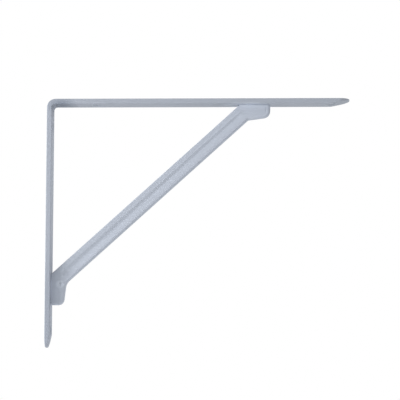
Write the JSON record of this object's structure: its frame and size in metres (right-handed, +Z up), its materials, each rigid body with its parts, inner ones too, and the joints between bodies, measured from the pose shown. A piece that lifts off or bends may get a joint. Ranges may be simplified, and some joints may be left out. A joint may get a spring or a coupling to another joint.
{
  "type": "gallows shelf bracket",
  "caption": "Right-angled wall bracket for a shelf, bent from flat steel bar, with a pressed diagonal strut welded across its corner and countersunk screw holes.",
  "frame": {"origin": "on the wall face of the leg, midway between its two screw holes", "axes": "+X out from the wall along the arm, +Y across the bar's width, +Z up to the shelf face"},
  "size_m": [0.305, 0.025, 0.25],
  "materials": {
    "powder_coat": "smooth satin powder coat, pale blue-grey"
  },
  "bodies": {
    "root": {"bent_bar": "powder_coat", "strut": "powder_coat"}
  },
  "joints": []
}
